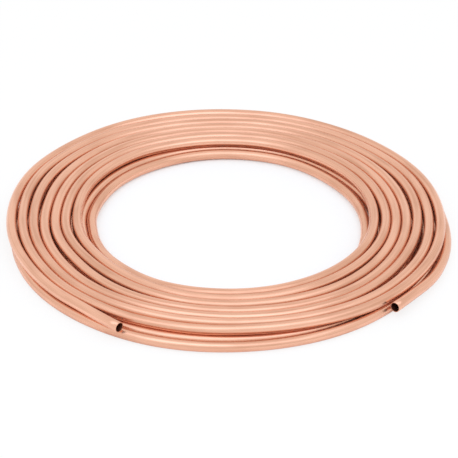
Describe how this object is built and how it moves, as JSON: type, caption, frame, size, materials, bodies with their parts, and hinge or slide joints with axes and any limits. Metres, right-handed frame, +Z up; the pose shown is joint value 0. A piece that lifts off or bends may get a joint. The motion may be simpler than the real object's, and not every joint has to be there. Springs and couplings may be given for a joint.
{
  "type": "copper tube coil",
  "caption": "Coil of soft copper tube wound flat in two layers round an open bore, with two free open ends.",
  "frame": {"origin": "under the middle of the coil's bounding box, on the floor it lies on", "axes": "+Z up through the bore, -Y to the side where both free ends are, +X to the side where the floor layer's end starts"},
  "size_m": [0.4144, 0.412, 0.0191],
  "materials": {
    "copper": "bright soft copper, drawn, satin with fine lengthwise streaks"
  },
  "bodies": {
    "root": {"tube_coil": "copper"}
  },
  "joints": []
}
